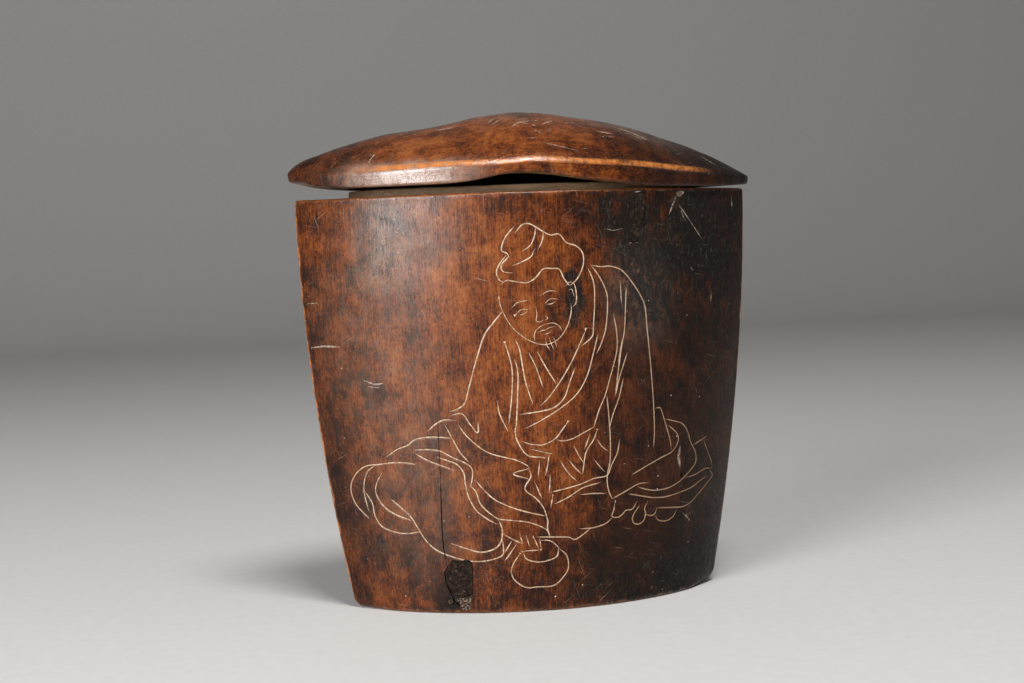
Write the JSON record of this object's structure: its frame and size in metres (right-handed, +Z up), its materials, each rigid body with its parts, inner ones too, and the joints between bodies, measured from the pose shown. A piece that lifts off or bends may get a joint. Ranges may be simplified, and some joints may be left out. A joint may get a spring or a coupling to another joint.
{
  "type": "tea caddy",
  "caption": "Almond-plan carved wooden tea caddy with an engraved seated figure on the front, an inner sleeve and a domed lift-off lid with a thumb arch.",
  "frame": {"origin": "centre of the foot, on the surface that the caddy stands on", "axes": "+Z up, X along the almond from point to point, the engraved front faces -Y"},
  "size_m": [0.1024, 0.0494, 0.1056],
  "materials": {
    "body_wood": "dark red-brown hardwood, waxed and hand-worn, satin, with black stains",
    "lid_wood": "dark red-brown hardwood, waxed and hand-worn, satin, orange worn edges",
    "pale_wood": "unpolished tan wood, matte",
    "bamboo": "bare bamboo, matte",
    "filler": "old dark granular putty, matte"
  },
  "bodies": {
    "caddy": {"front_wall": "body_wood", "back_wall": "body_wood", "base_board": "pale_wood", "inner_collar": "pale_wood", "foot_fill": "filler", "rim_fill": "filler", "upper_left_dowel": "bamboo", "upper_right_dowel": "bamboo", "lower_left_dowel": "bamboo", "lower_right_dowel": "bamboo", "front_left_base_pin": "bamboo", "front_right_base_pin": "bamboo", "back_left_base_pin": "bamboo", "back_right_base_pin": "bamboo"},
    "lid": {"lid_shell": "lid_wood"}
  },
  "joints": [
    {"name": "lid_lift", "type": "slide", "parent": "caddy", "child": "lid", "axis": [0, 0, 1], "range_m": [0, 0.06]}
  ]
}
